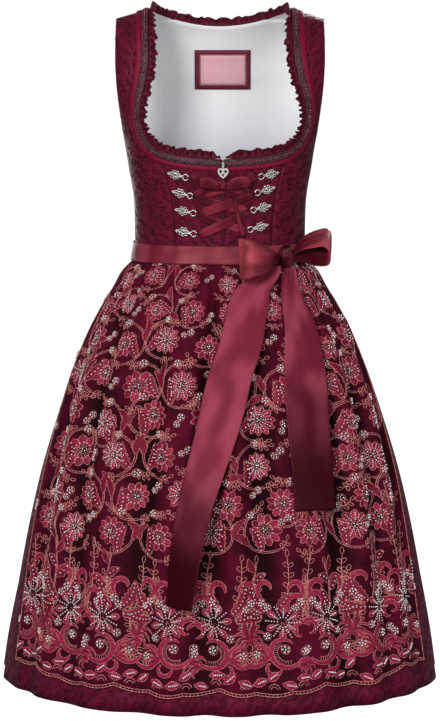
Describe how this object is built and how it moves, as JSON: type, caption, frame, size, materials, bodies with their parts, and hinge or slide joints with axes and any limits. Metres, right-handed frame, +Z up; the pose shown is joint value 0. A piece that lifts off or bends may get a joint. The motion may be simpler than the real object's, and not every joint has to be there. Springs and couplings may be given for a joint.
{
  "type": "dirndl dress with apron",
  "caption": "Hollow, worn-form dirndl: laced bodice with a ruffled neckline, full gathered skirt and a scalloped embroidered apron tied with a satin bow. No wearer.",
  "frame": {"origin": "midway between the two shoulder seams, level with the undersides of the straps, where the wearer's shoulders hold the dress", "axes": "+Z up, front towards -Y, the wearer's left side towards +X"},
  "size_m": [0.6723, 0.5925, 1.0168],
  "materials": {
    "jacquard": "woven sheen",
    "brocade": "woven sheen",
    "lining": "matt",
    "label_border": "woven",
    "label_field": "woven",
    "frill": "soft sheen",
    "braid": "beaded",
    "neck_ribbon": "ribbed satin",
    "zip_tape": "matt",
    "satin": "satin",
    "lace": "embroidered net",
    "silver": "cast and polished"
  },
  "bodies": {
    "dress": {"bodice_front_left": "jacquard", "bodice_front_right": "jacquard", "bodice_side_front_left": "jacquard", "bodice_side_front_right": "jacquard", "bodice_side_back_left": "jacquard", "bodice_side_back_right": "jacquard", "bodice_back": "jacquard", "lining_back": "lining", "label": "label_border", "label_field": "label_field", "neck_frill": "frill", "neck_braid": "braid", "neck_ribbon": "neck_ribbon", "zip": "zip_tape", "zip_slider": "silver", "hook_left_1": "silver", "hook_left_2": "silver", "hook_left_3": "silver", "hook_left_4": "silver", "hook_right_1": "silver", "hook_right_2": "silver", "hook_right_3": "silver", "hook_right_4": "silver", "lace_under_1": "satin", "lace_over_1": "satin", "lace_under_2": "satin", "lace_over_2": "satin", "lace_under_3": "satin", "lace_over_3": "satin", "lace_loop_left": "satin", "lace_loop_right": "satin", "lace_tail_left": "satin", "lace_tail_right": "satin", "lace_knot": "satin", "skirt_front": "brocade", "skirt_back": "brocade", "apron": "lace", "waist_ribbon_front": "satin", "waist_ribbon_back": "satin", "bow_loop_left": "satin", "bow_loop_right": "satin", "bow_tail_left": "satin", "bow_tail_right": "satin", "bow_knot": "satin"},
    "pull": {"zip_pull": "silver"}
  },
  "joints": [
    {"name": "pull_swing", "type": "hinge", "parent": "dress", "child": "pull", "pos_m": [0.0045, -0.12447, -0.223], "axis": [-1, 0, 0], "range_deg": [0, 150]}
  ]
}
